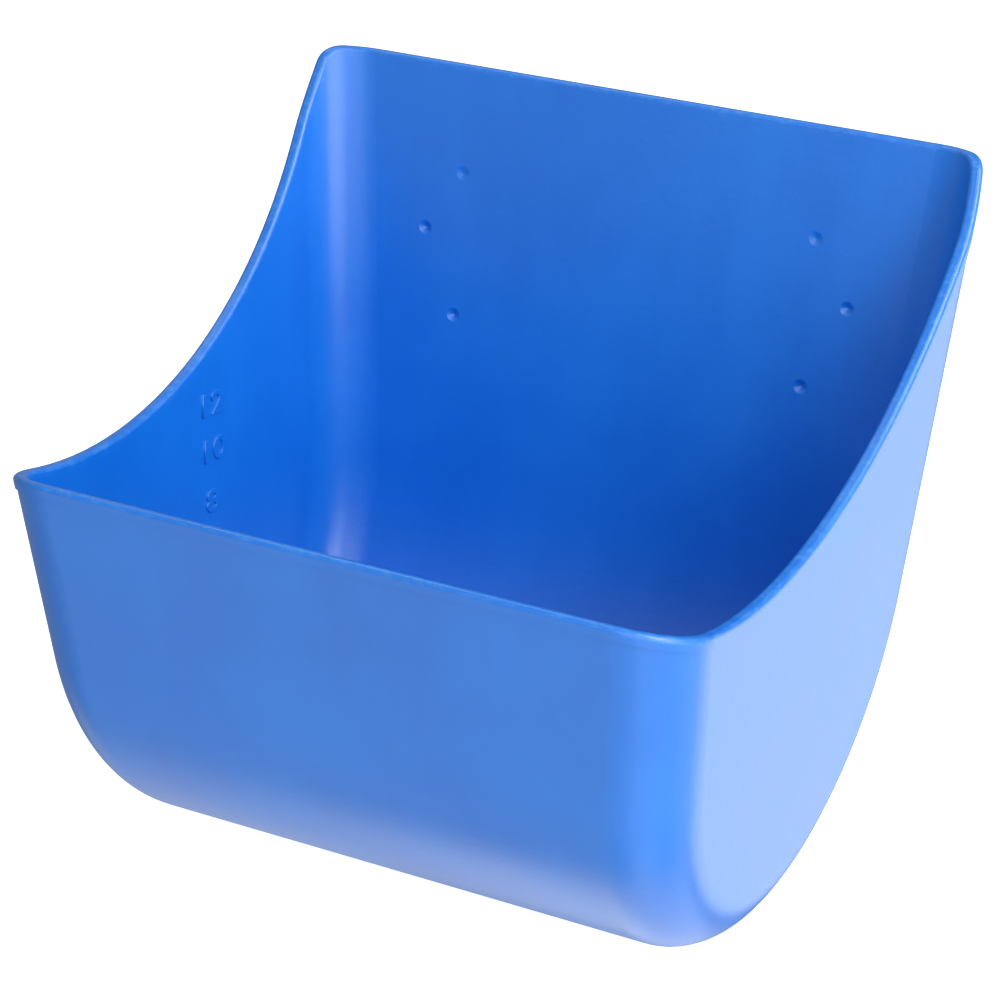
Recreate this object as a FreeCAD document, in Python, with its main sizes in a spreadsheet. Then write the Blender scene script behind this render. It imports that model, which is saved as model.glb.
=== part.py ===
"""Wall manger: a one-piece moulded feed trough that hangs flat against a stable wall.

The tub is one open shell. Seen from the side it is a straight back, a round bottom and a
front wall that leans forward, and one large arc cuts the rim from the high back down to the
low front. Seen from the front both side walls draw in towards the bottom. The edges between
the side walls and the rest share one large radius. The rim's edges are rounded, and a thin
lip along its outside runs out to nothing round the back corners, so that the back stays flat.
Six cones in the back mark where the fixing screws may be drilled.

Millimetres. +Z is up, the front faces -Y and the back of the manger lies on y = 0. The
origin is on the wall face, on the centre line, level with the middle pair of marks. Each
body is drawn from the level of the tub's lowest point and then lowered to that origin.
"""
import FreeCAD, Part
import math
import os
import Sketcher

V = FreeCAD.Vector

SIZES = {
    "top_width": 346.0,        # outside width across the top of the back wall
    "back_height": 336.0,      # lowest point of the tub to the top of the back wall
    "bottom_radius": 134.0,    # outside radius of the round bottom, seen from the side
    "front_lean": 15.5,        # degrees that the front wall leans forward
    "side_draft": 4.5,         # degrees that each side wall draws in towards the bottom
    "corner_radius": 30.0,     # outside radius where the side walls meet the rest
    "wall": 5.2,               # thickness of every wall
    "rim_radius": 223.5,       # arc of the rim, seen from the side
    "rim_reach": 227.5,        # axis of that arc, in front of the wall face
    "rim_height": 405.0,       # axis of that arc, above the lowest point
    "rim_corner": 11.5,        # rounding where the arc meets the top of the back wall
    "lip_proud": 0.8,          # the lip stands this far out of the side and front walls
    "lip_depth": 5.9,          # the lip runs this far down from the rim
    "edge_round": 2.0,         # rounding of the rim's inner and outer edges
    "mark_radius": 3.4,        # drilling marks: the cone's radius at the wall
    "mark_tip": 0.4,           # and at its bottom
    "mark_depth": 1.9,         # depth of the middle and the lower marks
    "faint_depth": 0.7,        # depth of the upper marks
    "inner_spread": 91.0,      # centre line to the upper and the lower marks
    "outer_spread": 109.5,     # centre line to the middle marks
    "upper_drop": 52.0,        # top of the back wall down to each row of marks
    "middle_drop": 81.5,
    "lower_drop": 122.0,
    "spare": 15.0,             # how far a cutting outline reaches past the solid
}

doc = FreeCAD.newDocument("wall_manger")


def make_sheet():
    """The driving dimensions, one row each: the name, and the value with its alias."""
    sheet = doc.addObject("Spreadsheet::Sheet", "sizes")
    for row, (name, value) in enumerate(SIZES.items(), start=1):
        sheet.set(f"A{row}", name)
        sheet.set(f"B{row}", str(value))
        sheet.setAlias(f"B{row}", name)
    doc.recompute()


def bind(thing, path, formula):
    """Ties a property to a formula in which each name is a cell of the sheet."""
    for name in SIZES:
        formula = formula.replace("@" + name, "sizes." + name)
    thing.setExpression(path, formula)


def new_body(name):
    body = doc.addObject("PartDesign::Body", name)
    body.Label = name
    return body


def new_sketch(body, role, name):
    """A sketch on one of the body's own origin planes."""
    plane = next(item for item in body.Origin.OriginFeatures if item.Role == role)
    sketch = body.newObject("Sketcher::SketchObject", name)
    sketch.AttachmentSupport = [(plane, "")]
    sketch.MapMode = "FlatFace"
    return sketch


def add_line(sketch, start, end):
    return sketch.addGeometry(Part.LineSegment(V(*start, 0), V(*end, 0)), False)


def add_arc(sketch, centre, radius, first, last):
    circle = Part.Circle(V(*centre, 0), V(0, 0, 1), radius)
    return sketch.addGeometry(Part.ArcOfCircle(circle, first, last), False)


def join(sketch, *pairs):
    """Makes pairs of end points coincide: each is line, end, line, end."""
    for pair in pairs:
        sketch.addConstraint(Sketcher.Constraint("Coincident", *pair))


def smooth(sketch, *pair):
    """Makes two curves meet tangentially at their end points."""
    sketch.addConstraint(Sketcher.Constraint("Tangent", *pair))


def straighten(sketch, kind, *lines):
    for line in lines:
        sketch.addConstraint(Sketcher.Constraint(kind, line))


def hold(sketch, kind, geometry, formula, value):
    """Gives a radius or an angle the value of a formula."""
    index = sketch.addConstraint(Sketcher.Constraint(kind, geometry, value))
    bind(sketch, f"Constraints[{index}]", formula)


def pin(sketch, geometry, point, across=None, up=None):
    """Holds a point of the sketch at one or two formulas, measured from the origin."""
    place = sketch.getPoint(geometry, point)
    for kind, value, formula in (("DistanceX", place.x, across), ("DistanceY", place.y, up)):
        if formula:
            index = sketch.addConstraint(
                Sketcher.Constraint(kind, -1, 1, geometry, point, value))
            bind(sketch, f"Constraints[{index}]", formula)


def polygon(sketch, corners):
    """A closed outline of straight lines, with each corner held at its two formulas."""
    count = len(corners)
    turns = [2 * math.pi * step / count for step in range(count + 1)]
    ring = [(100 * math.cos(turn), 100 * math.sin(turn)) for turn in turns]
    lines = [add_line(sketch, ring[step], ring[step + 1]) for step in range(count)]
    for step, line in enumerate(lines):
        join(sketch, (line, 2, lines[(step + 1) % count], 1))
    for line, (across, up) in zip(lines, corners):
        pin(sketch, line, 1, across, up)


def pad_both_ways(body, sketch, name, length):
    pad = body.newObject("PartDesign::Pad", name)
    pad.Profile = sketch
    pad.SideType = "Symmetric"
    bind(pad, "Length", length)
    doc.recompute()
    return pad


def cut_through(body, sketch, name):
    """Cuts the outline right through on both sides, and checks that it took material."""
    before = body.Shape.Volume
    pocket = body.newObject("PartDesign::Pocket", name)
    pocket.Profile = sketch
    pocket.Type = "ThroughAll"
    pocket.SideType = "Symmetric"
    doc.recompute()
    if not pocket.Shape.Volume < before - 1:
        raise RuntimeError(f"{name} cut nothing")
    return pocket


def round_edges(body, name, wanted, radius):
    """Rounds the edges of the body that the test picks."""
    base = body.Tip
    names = [f"Edge{step}" for step, edge in enumerate(base.Shape.Edges, start=1) if wanted(edge)]
    fillet = body.newObject("PartDesign::Fillet", name)
    fillet.Base = (base, names)
    bind(fillet, "Radius", radius)
    doc.recompute()
    return fillet


def combine(body, name, kind, tool):
    """Fuses another body into this one, or cuts it away."""
    before = body.Shape.Volume
    boolean = body.newObject("PartDesign::Boolean", name)
    boolean.Type = kind
    boolean.setObjects([tool])
    doc.recompute()
    if abs(boolean.Shape.Volume - before) < 1:
        raise RuntimeError(f"{name} changed nothing")
    return boolean


def side_outline(sketch, out, behind, top):
    """Back, round bottom and leaning front, seen from the side.

    The front lies a distance out beyond the tub's own front, and the back a distance behind
    y = 0. The bottom's arc keeps its level and runs smoothly into both.
    """
    radius = SIZES["bottom_radius"]
    lean = math.radians(SIZES["front_lean"])
    height = SIZES["back_height"]
    start = (-radius * (1 + math.cos(lean)), radius * (1 - math.sin(lean)))
    crown = (start[0] - (height - start[1]) * math.tan(lean), height)
    back = add_line(sketch, (0, height), (0, radius))
    bottom = add_arc(sketch, (-radius, radius), radius, math.pi + lean, 2 * math.pi)
    front = add_line(sketch, start, crown)
    lid = add_line(sketch, crown, (0, height))
    smooth(sketch, back, 2, bottom, 2)
    smooth(sketch, front, 1, bottom, 1)
    join(sketch, (front, 2, lid, 1), (lid, 2, back, 1))
    straighten(sketch, "Vertical", back)
    straighten(sketch, "Horizontal", lid)
    growth = f"(({out}) + ({behind}) * cos(@front_lean)) / (1 + cos(@front_lean))"
    pin(sketch, bottom, 3, f"({behind}) - @bottom_radius - {growth}", "@bottom_radius")
    pin(sketch, back, 1, behind, top)
    hold(sketch, "Angle", front, "90 + @front_lean", math.pi / 2 + lean)


def tub(name, out, behind, top):
    """A solid tub: sides and front lie out beyond the tub's own, and the back behind y = 0."""
    body = new_body(name)
    profile = new_sketch(body, "YZ_Plane", name + "_profile")
    side_outline(profile, out, behind, top)
    pad_both_ways(body, profile, name + "_block", "@top_width + 2 * @spare")
    level = f"({out}) / cos(@side_draft) + @top_width / 2"
    high = f"{level} + tan(@side_draft) * (({top}) - @back_height)"
    low = f"{level} - tan(@side_draft) * (@back_height + @spare)"
    for side, sign in (("right", "1"), ("left", "-1")):
        wedge = new_sketch(body, "XZ_Plane", f"{name}_{side}_wedge")
        polygon(wedge, [(f"{sign} * ({high})", top),
                        (f"{sign} * ({low})", "-@spare"),
                        (f"{sign} * (@top_width / 2 + 2 * @spare)", "-@spare"),
                        (f"{sign} * (@top_width / 2 + 2 * @spare)", top)])
        cut_through(body, wedge, f"{name}_{side}_side")
    lid_level = body.Shape.BoundBox.ZMax - 0.01
    round_edges(body, name + "_corners",
                lambda edge: not (edge.BoundBox.XMin < 0 < edge.BoundBox.XMax)
                and edge.BoundBox.ZMin < lid_level,
                f"@corner_radius + ({out})")
    return body


def rim_knee():
    """Centre of the rounding between the rim's arc and the top, and where the two meet."""
    drop = SIZES["rim_height"] - SIZES["back_height"] + SIZES["rim_corner"]
    run = math.sqrt((SIZES["rim_radius"] + SIZES["rim_corner"]) ** 2 - drop ** 2)
    return run - SIZES["rim_reach"], SIZES["rim_height"] - drop, math.atan2(-drop, run)


def rim_curve(sketch, depth, formula):
    """The line of the rim seen from the side, a depth below it: the arc, then the knee."""
    knee_y, knee_z, turn = rim_knee()
    arc = add_arc(sketch, (-SIZES["rim_reach"], SIZES["rim_height"]),
                  SIZES["rim_radius"] + depth, math.radians(240), 2 * math.pi + turn)
    knee = add_arc(sketch, (knee_y, knee_z), SIZES["rim_corner"] - depth,
                   math.pi / 2, math.pi + turn)
    smooth(sketch, arc, 2, knee, 2)
    pin(sketch, arc, 3, "-@rim_reach", "@rim_height")
    hold(sketch, "Radius", arc, f"@rim_radius + {formula}", SIZES["rim_radius"] + depth)
    hold(sketch, "Radius", knee, f"@rim_corner - {formula}", SIZES["rim_corner"] - depth)
    sketch.addConstraint(Sketcher.Constraint("Vertical", knee, 3, knee, 1))
    pin(sketch, knee, 1, up=f"@back_height - {formula}")
    return arc, knee


def cut_below_lip(body):
    """Leaves the lip only in the band that follows the rim."""
    sketch = new_sketch(body, "YZ_Plane", "lip_lower_edge")
    arc, knee = rim_curve(sketch, SIZES["lip_depth"], "@lip_depth")
    front_end = sketch.getPoint(arc, 1)
    knee_top = sketch.getPoint(knee, 1)
    spare = SIZES["spare"]
    top = add_line(sketch, (knee_top.x, knee_top.y), (spare, knee_top.y))
    back = add_line(sketch, (spare, knee_top.y), (spare, -spare))
    floor = add_line(sketch, (spare, -spare), (front_end.x, -spare))
    front = add_line(sketch, (front_end.x, -spare), (front_end.x, front_end.y))
    join(sketch, (knee, 1, top, 1), (top, 2, back, 1), (back, 2, floor, 1),
         (floor, 2, front, 1), (front, 2, arc, 1))
    straighten(sketch, "Horizontal", top, floor)
    straighten(sketch, "Vertical", back, front)
    pin(sketch, floor, 1, "@spare", "-@spare")
    pin(sketch, floor, 2, "-@rim_reach * 1.5")
    return cut_through(body, sketch, "lip_band")


def cut_rim(body):
    """Cuts the tub down to the rim."""
    sketch = new_sketch(body, "YZ_Plane", "rim_line")
    arc, knee = rim_curve(sketch, 0, "0")
    front_end = sketch.getPoint(arc, 1)
    knee_top = sketch.getPoint(knee, 1)
    over = SIZES["back_height"] + SIZES["spare"]
    rise = add_line(sketch, (knee_top.x, knee_top.y), (knee_top.x, over))
    lid = add_line(sketch, (knee_top.x, over), (front_end.x, over))
    drop_line = add_line(sketch, (front_end.x, over), (front_end.x, front_end.y))
    join(sketch, (knee, 1, rise, 1), (rise, 2, lid, 1), (lid, 2, drop_line, 1),
         (drop_line, 2, arc, 1))
    straighten(sketch, "Vertical", rise, drop_line)
    straighten(sketch, "Horizontal", lid)
    pin(sketch, lid, 2, "-@rim_reach * 1.5", "@back_height + @spare")
    return cut_through(body, sketch, "rim")


def on_rim(point):
    """Whether a point lies on the rim's arc, on its rounding or on the top of the back."""
    knee_y, knee_z, _ = rim_knee()
    from_axis = math.hypot(point.y + SIZES["rim_reach"], point.z - SIZES["rim_height"])
    from_knee = math.hypot(point.y - knee_y, point.z - knee_z)
    gaps = (from_axis - SIZES["rim_radius"], from_knee - SIZES["rim_corner"],
            point.z - SIZES["back_height"])
    return min(abs(gap) for gap in gaps) < 0.01


def rim_edge(edge):
    """Whether an edge runs along the inside or the outside of the rim."""
    first, last = edge.ParameterRange
    points = [edge.valueAt(first + (last - first) * part) for part in (0.1, 0.5, 0.9)]
    along_rim = all(on_rim(point) for point in points)
    across_wall = edge.Length < 2 * SIZES["wall"] and abs(points[0].x - points[2].x) > 1
    return along_rim and not across_wall


def add_marks(body):
    """Three rows of two blind cones in the inside face of the back wall."""
    rows = (("upper", "inner", "faint"), ("middle", "outer", "mark"), ("lower", "inner", "mark"))
    for row, spread, depth in rows:
        for side, sign in (("right", "1"), ("left", "-1")):
            before = body.Shape.Volume
            cone = body.newObject("PartDesign::SubtractiveCone", f"{row}_{side}_mark")
            cone.Placement = FreeCAD.Placement(V(0, 0, 0), FreeCAD.Rotation(V(1, 0, 0), -90))
            bind(cone, "Radius1", "@mark_radius")
            bind(cone, "Radius2", "@mark_tip")
            bind(cone, "Height", f"@{depth}_depth")
            bind(cone, "Placement.Base.x", f"{sign} * @{spread}_spread")
            bind(cone, "Placement.Base.y", "-@wall")
            bind(cone, "Placement.Base.z", f"@back_height - @{row}_drop")
            doc.recompute()
            if not cone.Shape.Volume < before - 1:
                raise RuntimeError(f"{row} {side} mark cut nothing")


def trough():
    """The whole moulding: the tub with its lip, hollowed, marked and cut along the rim."""
    body = tub("trough_body", "0", "0", "@back_height")
    lip = tub("rim_lip", "@lip_proud", "0", "@back_height")
    cut_below_lip(lip)
    combine(body, "with_lip", "Fuse", lip)
    hollow = tub("feed_space", "-@wall", "-@wall", "@back_height + @spare")
    combine(body, "hollowed", "Cut", hollow)
    add_marks(body)
    cut_rim(body)
    round_edges(body, "rim_rounding", rim_edge, "@edge_round")
    bind(body, "Placement.Base.z", "@middle_drop - @back_height")
    doc.recompute()
    return body


def check_and_export(bodies):
    """Stops on any failed object or shape, then writes one STEP file for each body."""
    for item in doc.Objects:
        if {"Invalid", "Error"} & set(item.State):
            raise RuntimeError(f"{item.Name} failed: {item.State}")
    os.makedirs("parts", exist_ok=True)
    for body in bodies:
        shape = body.Shape
        if shape.isNull() or not shape.isValid() or len(shape.Solids) != 1:
            raise RuntimeError(f"{body.Label} is not one valid solid")
        shape.exportStep(f"parts/{body.Label}.step")
        box = shape.optimalBoundingBox(False, False)
        print(body.Label, "volume", round(shape.Volume / 1000, 1), "cm3, size",
              round(box.XLength, 1), round(box.YLength, 1), round(box.ZLength, 1),
              "top at", round(box.ZMax, 1))


make_sheet()
check_and_export([trough()])
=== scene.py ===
"""The looks of the wall feed bucket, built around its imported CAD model.

Metres. The bucket's back lies on y = 0, its front faces -Y and +Z is up. The shell is the CAD
node itself with a moulded plastic material, and the raised litre numerals are pieces here.
"""
import math

import bpy
from mathutils import Matrix, Vector


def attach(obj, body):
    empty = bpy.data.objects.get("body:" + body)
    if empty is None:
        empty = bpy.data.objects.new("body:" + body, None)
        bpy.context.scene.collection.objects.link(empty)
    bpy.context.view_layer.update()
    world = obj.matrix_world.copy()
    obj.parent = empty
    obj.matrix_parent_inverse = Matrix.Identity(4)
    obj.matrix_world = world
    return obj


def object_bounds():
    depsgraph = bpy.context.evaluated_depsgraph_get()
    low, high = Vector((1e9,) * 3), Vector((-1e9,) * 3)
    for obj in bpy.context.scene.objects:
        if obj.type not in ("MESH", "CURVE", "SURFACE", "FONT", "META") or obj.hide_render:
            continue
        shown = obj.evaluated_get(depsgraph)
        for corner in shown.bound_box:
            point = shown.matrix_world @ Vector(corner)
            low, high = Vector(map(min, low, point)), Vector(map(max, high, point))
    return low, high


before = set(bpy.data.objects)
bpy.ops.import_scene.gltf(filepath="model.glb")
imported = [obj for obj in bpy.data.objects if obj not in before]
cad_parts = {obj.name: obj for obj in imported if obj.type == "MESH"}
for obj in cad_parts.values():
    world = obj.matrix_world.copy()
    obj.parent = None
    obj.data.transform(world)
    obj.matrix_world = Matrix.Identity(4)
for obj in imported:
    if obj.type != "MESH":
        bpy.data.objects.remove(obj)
CAD_LOW, CAD_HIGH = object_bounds()
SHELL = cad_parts["trough_body"]
CENTRE = (CAD_LOW + CAD_HIGH) / 2

# The photograph's viewpoint: angles in degrees, lens and sensor in millimetres.
CAMERA_AZIMUTH = 26.033
CAMERA_ELEVATION = 18.122
CAMERA_ROLL = 4.484
CAMERA_DISTANCE = 1.3946
CAMERA_TARGET = Vector((0.00989, -0.144, -0.07754))
CAMERA_LENS = 114.6
CAMERA_SENSOR = 36.0

# Soft square lamps: name, azimuth from the front towards +X, elevation, side, power in watts.
LAMPS = (
    ("right_front", 62, 5, 1.5, 18.0),
    ("front", 10, 20, 1.5, 10.0),
    ("top_right", 90, 45, 1.5, 14.0),
    ("top_right_front", 64, 38, 0.8, 15.0),
    ("high_right_front", 55, 65, 0.8, 3.0),
    ("high_left_back", -105, 64, 0.6, 3.0),
    ("low_back_right", 150, -18, 1.5, 10.0),
    ("low_right", 95, -18, 1.8, 8.0),
    ("low_front", 20, -25, 1.5, 6.0),
    ("low_left_front", -30, -45, 1.5, 3.0),
    ("low_right_front", 50, -45, 1.5, 4.0),
    ("low_left_back", -120, -60, 1.5, 3.0),
    ("below", 160, -72, 2.0, 12.0),
)
LAMP_DISTANCE = 2.0
WORLD_STRENGTH = 0.30

FLOOR_SIZE = 40.0
FLOOR_GAP = 0.0005
FLOOR_WHITE = 0.95
FLOOR_ROUGHNESS = 0.9

# The side walls, as the CAD has them: thickness, half the outer width at the top, and draft.
WALL = 0.0052
HALF_WIDTH = 0.173
SIDE_DRAFT = math.radians(4.5)

# The arc that the rim follows seen from the side, and how far from it the wear fades.
RIM_RADIUS = 0.2235
RIM_AXIS_Y = -0.2275
RIM_AXIS_Z = CAD_LOW.z + 0.405
WEAR_FULL = 0.0004
WEAR_GONE = 0.0045

# Litre numerals: the text, and how far its middle is in front of the back and above the bottom.
# Each stands out of the wall by the relief plus the rounded edge, and is sunk in as far.
NUMERALS = (("12", 0.1195, 0.1814), ("10", 0.1185, 0.1593), ("8", 0.1195, 0.1348))
NUMERAL_SIZE = 0.0150
NUMERAL_STRETCH = 1.5
NUMERAL_WEIGHT = 0.00015
NUMERAL_RELIEF = 0.0006
NUMERAL_ROUND = 0.0003

# The plastic: its linear colours, its gloss and its surface.
DEEP_BLUE = (0.0005, 0.156, 0.660, 1)
BRIGHT_BLUE = (0.0020, 0.182, 0.720, 1)
SPECK_BLUE = (0.006, 0.215, 0.760, 1)
WORN_BLUE = (0.090, 0.330, 0.780, 1)
SPECK_SHARE = 0.25
WORN_SHARE = 0.32
ROUGHNESS = 0.28
SPECULAR = 0.9
COAT_WEIGHT = 0.25
COAT_ROUGHNESS = 0.28
BUMP_STRENGTH = 0.6
BUMP_DISTANCE = 0.00018


def direction(azimuth, elevation):
    """Unit vector at these angles, with azimuth 0 straight in front of the bucket."""
    azimuth, elevation = math.radians(azimuth), math.radians(elevation)
    return Vector((math.sin(azimuth) * math.cos(elevation),
                   -math.cos(azimuth) * math.cos(elevation),
                   math.sin(elevation)))


def camera():
    """A long lens from the front right and a little above, tipped a few degrees."""
    roll = math.radians(CAMERA_ROLL)
    back = direction(CAMERA_AZIMUTH, CAMERA_ELEVATION)
    level = Vector((-back.y, back.x, 0)).normalized()
    rise = back.cross(level)
    right = level * math.cos(roll) + rise * math.sin(roll)
    up = rise * math.cos(roll) - level * math.sin(roll)
    turn = Matrix((right, up, back)).transposed().to_4x4()
    data = bpy.data.cameras.new("camera")
    data.lens = CAMERA_LENS
    data.sensor_width = CAMERA_SENSOR
    cam = bpy.data.objects.new("camera", data)
    cam.matrix_world = Matrix.Translation(CAMERA_TARGET + back * CAMERA_DISTANCE) @ turn
    bpy.context.scene.collection.objects.link(cam)
    bpy.context.scene.camera = cam


def lights():
    """Soft lamps all round, as in a light tent."""
    for name, azimuth, elevation, side, power in LAMPS:
        data = bpy.data.lights.new(name, "AREA")
        data.shape = "SQUARE"
        data.size = side
        data.energy = power
        lamp = bpy.data.objects.new(name, data)
        towards = direction(azimuth, elevation)
        lamp.location = CENTRE + towards * LAMP_DISTANCE
        lamp.rotation_euler = towards.to_track_quat("Z", "Y").to_euler()
        bpy.context.scene.collection.objects.link(lamp)


def surround():
    """A surround that lights dimly and evenly, and shows as plain white behind the object."""
    world = bpy.data.worlds.new("surround")
    world.use_nodes = True
    nodes, links = world.node_tree.nodes, world.node_tree.links
    dim = nodes["Background"]
    dim.inputs["Color"].default_value = (1, 1, 1, 1)
    dim.inputs["Strength"].default_value = WORLD_STRENGTH
    white = nodes.new("ShaderNodeBackground")
    white.inputs["Color"].default_value = (1, 1, 1, 1)
    path = nodes.new("ShaderNodeLightPath")
    mix = nodes.new("ShaderNodeMixShader")
    links.new(path.outputs["Is Camera Ray"], mix.inputs[0])
    links.new(dim.outputs[0], mix.inputs[1])
    links.new(white.outputs[0], mix.inputs[2])
    links.new(mix.outputs[0], nodes["World Output"].inputs["Surface"])
    bpy.context.scene.world = world


def floor():
    """A glowing white table top. It casts no shadow, so the lamps below it shine through."""
    bpy.ops.mesh.primitive_plane_add(size=FLOOR_SIZE, location=(0, 0, CAD_LOW.z - FLOOR_GAP))
    plane = bpy.context.object
    plane.name = "floor"
    material = bpy.data.materials.new("white_table")
    material.use_nodes = True
    shader = material.node_tree.nodes["Principled BSDF"]
    shader.inputs["Base Color"].default_value = (FLOOR_WHITE, FLOOR_WHITE, FLOOR_WHITE, 1)
    shader.inputs["Roughness"].default_value = FLOOR_ROUGHNESS
    shader.inputs["Emission Color"].default_value = (1, 1, 1, 1)
    shader.inputs["Emission Strength"].default_value = 1.0
    plane.data.materials.append(material)
    plane.visible_diffuse = False
    plane.visible_glossy = False
    plane.visible_shadow = False


class Graph:
    """Shorthand for adding nodes to one material."""

    def __init__(self, material):
        self.nodes = material.node_tree.nodes
        self.links = material.node_tree.links
        self.place = self.nodes.new("ShaderNodeTexCoord").outputs["Object"]

    def feed(self, socket, value):
        """Links a socket to the input, or sets the input to a plain value."""
        if isinstance(value, bpy.types.NodeSocket):
            self.links.new(value, socket)
        else:
            socket.default_value = value

    def stretched(self, scales):
        """The place on the object, stretched differently along X, Y and Z."""
        node = self.nodes.new("ShaderNodeVectorMath")
        node.operation = "MULTIPLY"
        self.feed(node.inputs[0], self.place)
        self.feed(node.inputs[1], scales)
        return node.outputs[0]

    def noise(self, scale, detail, roughness, where=None):
        node = self.nodes.new("ShaderNodeTexNoise")
        self.feed(node.inputs["Vector"], where or self.place)
        self.feed(node.inputs["Scale"], scale)
        self.feed(node.inputs["Detail"], detail)
        self.feed(node.inputs["Roughness"], roughness)
        return node.outputs["Fac"]

    def math(self, operation, *values):
        node = self.nodes.new("ShaderNodeMath")
        node.operation = operation
        for socket, value in zip(node.inputs, values):
            self.feed(socket, value)
        return node.outputs[0]

    def summed(self, start, *shares):
        """The start, plus each value times its weight."""
        total = start
        for value, weight in shares:
            total = self.math("MULTIPLY_ADD", value, weight, total)
        return total

    def ranged(self, value, low, high, start=0.0, end=1.0):
        """Maps low to high smoothly on to start to end, and holds it at both ends."""
        node = self.nodes.new("ShaderNodeMapRange")
        node.interpolation_type = "SMOOTHSTEP"
        for name, number in (("Value", value), ("From Min", low), ("From Max", high),
                             ("To Min", start), ("To Max", end)):
            self.feed(node.inputs[name], number)
        return node.outputs["Result"]

    def blend(self, factor, first, second):
        """The first colour, turning into the second as the factor goes from 0 to 1."""
        node = self.nodes.new("ShaderNodeMix")
        node.data_type = "RGBA"
        colours = [socket for socket in node.inputs if socket.type == "RGBA"]
        self.feed(node.inputs[0], factor)
        self.feed(colours[0], first)
        self.feed(colours[1], second)
        return next(socket for socket in node.outputs if socket.type == "RGBA")

    def near_rim(self):
        """1 on the rim's edges, falling to 0 a few millimetres away from the rim."""
        split = self.nodes.new("ShaderNodeSeparateXYZ")
        self.feed(split.inputs[0], self.place)
        across = self.math("SUBTRACT", split.outputs["Y"], RIM_AXIS_Y)
        up = self.math("SUBTRACT", split.outputs["Z"], RIM_AXIS_Z)
        square = self.summed(0.0, (across, across), (up, up))
        from_arc = self.math("ABSOLUTE", self.math("SUBTRACT", self.math("SQRT", square),
                                                   RIM_RADIUS))
        from_top = self.math("SUBTRACT", CAD_HIGH.z, split.outputs["Z"])
        return self.ranged(self.math("MINIMUM", from_arc, from_top), WEAR_FULL, WEAR_GONE,
                           start=1.0, end=0.0)


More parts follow.
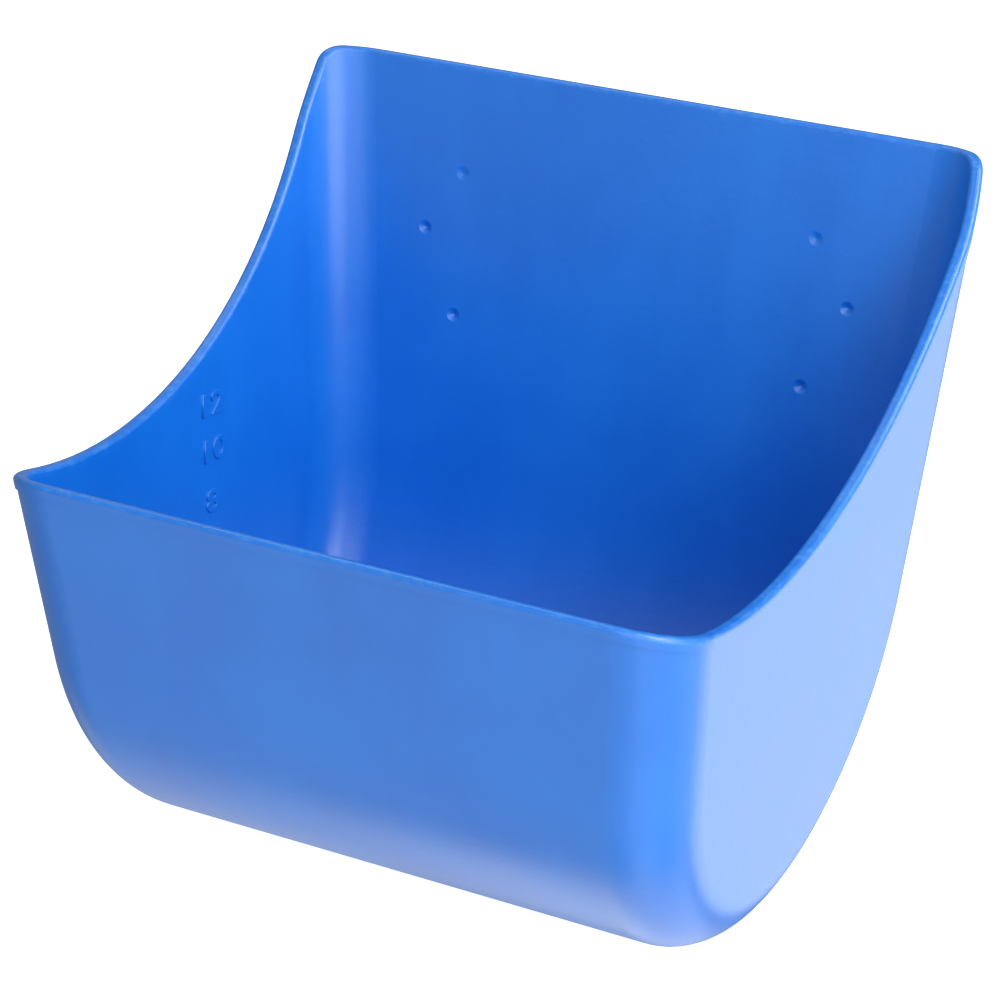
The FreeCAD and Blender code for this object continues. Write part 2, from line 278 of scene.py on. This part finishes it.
def blue_plastic():
    """Semi-gloss moulded polyethylene, as it comes out of a finely grained mould."""
    material = bpy.data.materials.new("blue_plastic")
    material.use_nodes = True
    graph = Graph(material)
    shader = graph.nodes["Principled BSDF"]

    clouds = graph.noise(scale=14.0, detail=4.0, roughness=0.55)
    flow = graph.noise(scale=26.0, detail=3.0, roughness=0.6,
                       where=graph.stretched((1.0, 1.0, 0.16)))
    specks = graph.noise(scale=1100.0, detail=1.0, roughness=0.5)
    grain = graph.noise(scale=1500.0, detail=3.0, roughness=0.6)
    peel = graph.noise(scale=320.0, detail=2.0, roughness=0.5)
    scuffs = graph.noise(scale=210.0, detail=4.0, roughness=0.7,
                         where=graph.stretched((1.0, 1.0, 2.2)))
    scratches = graph.noise(scale=90.0, detail=5.0, roughness=0.75,
                            where=graph.stretched((6.0, 6.0, 0.5)))
    worn = graph.math("MULTIPLY", graph.near_rim(), graph.ranged(scuffs, 0.46, 0.66))
    fine_lines = graph.ranged(scratches, 0.64, 0.76)

    tone = graph.summed(0.0, (clouds, 0.6), (flow, 0.4))
    colour = graph.blend(graph.ranged(tone, 0.35, 0.65), DEEP_BLUE, BRIGHT_BLUE)
    colour = graph.blend(graph.ranged(specks, 0.66, 0.78, end=SPECK_SHARE), colour, SPECK_BLUE)
    colour = graph.blend(graph.math("MULTIPLY", worn, WORN_SHARE), colour, WORN_BLUE)
    graph.feed(shader.inputs["Base Color"], colour)

    roughness = graph.summed(ROUGHNESS, (clouds, 0.10), (flow, 0.05), (worn, 0.10),
                             (fine_lines, 0.06))
    graph.feed(shader.inputs["Roughness"], roughness)

    height = graph.summed(0.0, (grain, 0.35), (peel, 0.8), (worn, -0.6), (fine_lines, -0.35))
    bump = graph.nodes.new("ShaderNodeBump")
    bump.inputs["Strength"].default_value = BUMP_STRENGTH
    bump.inputs["Distance"].default_value = BUMP_DISTANCE
    graph.feed(bump.inputs["Height"], height)
    graph.feed(shader.inputs["Normal"], bump.outputs["Normal"])

    shader.inputs["Specular IOR Level"].default_value = SPECULAR
    shader.inputs["Coat Weight"].default_value = COAT_WEIGHT
    shader.inputs["Coat Roughness"].default_value = COAT_ROUGHNESS
    return material


def left_wall_matrix(forward, height):
    """Frame on the left wall's inner face: X runs back, Y up the wall and Z into the tub."""
    drop = CAD_HIGH.z - CAD_LOW.z - height
    x = WALL / math.cos(SIDE_DRAFT) + math.tan(SIDE_DRAFT) * drop - HALF_WIDTH
    back = Vector((0, 1, 0))
    up = Vector((-math.sin(SIDE_DRAFT), 0, math.cos(SIDE_DRAFT)))
    turn = Matrix((back, up, back.cross(up))).transposed().to_4x4()
    return Matrix.Translation((x, -forward, CAD_LOW.z + height)) @ turn


def numeral(text, forward, height, material):
    """One raised level number, moulded into the left wall."""
    curve = bpy.data.curves.new("numeral_outline", "FONT")
    curve.body = text
    curve.size = NUMERAL_SIZE
    curve.align_x = "CENTER"
    curve.align_y = "CENTER"
    curve.offset = NUMERAL_WEIGHT
    curve.extrude = NUMERAL_RELIEF
    curve.bevel_depth = NUMERAL_ROUND
    curve.bevel_resolution = 2
    curve.resolution_u = 8
    outline = bpy.data.objects.new("numeral_outline", curve)
    bpy.context.scene.collection.objects.link(outline)
    bpy.context.view_layer.update()
    evaluated = outline.evaluated_get(bpy.context.evaluated_depsgraph_get())
    mesh = bpy.data.meshes.new_from_object(evaluated)
    bpy.data.objects.remove(outline)
    bpy.data.curves.remove(curve)
    mesh.transform(left_wall_matrix(forward, height)
                   @ Matrix.Diagonal((NUMERAL_STRETCH, 1, 1, 1)))
    mesh.materials.clear()
    mesh.materials.append(material)
    piece = bpy.data.objects.new(f"level_number_{text}", mesh)
    bpy.context.scene.collection.objects.link(piece)
    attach(piece, "root")


def dress():
    """Gives the shell its plastic and adds the numerals in the same plastic."""
    material = blue_plastic()
    SHELL.data.materials.clear()
    SHELL.data.materials.append(material)
    for text, forward, height in NUMERALS:
        numeral(text, forward, height, material)


bpy.context.scene.view_settings.view_transform = "Standard"
camera()
lights()
surround()
floor()
dress()
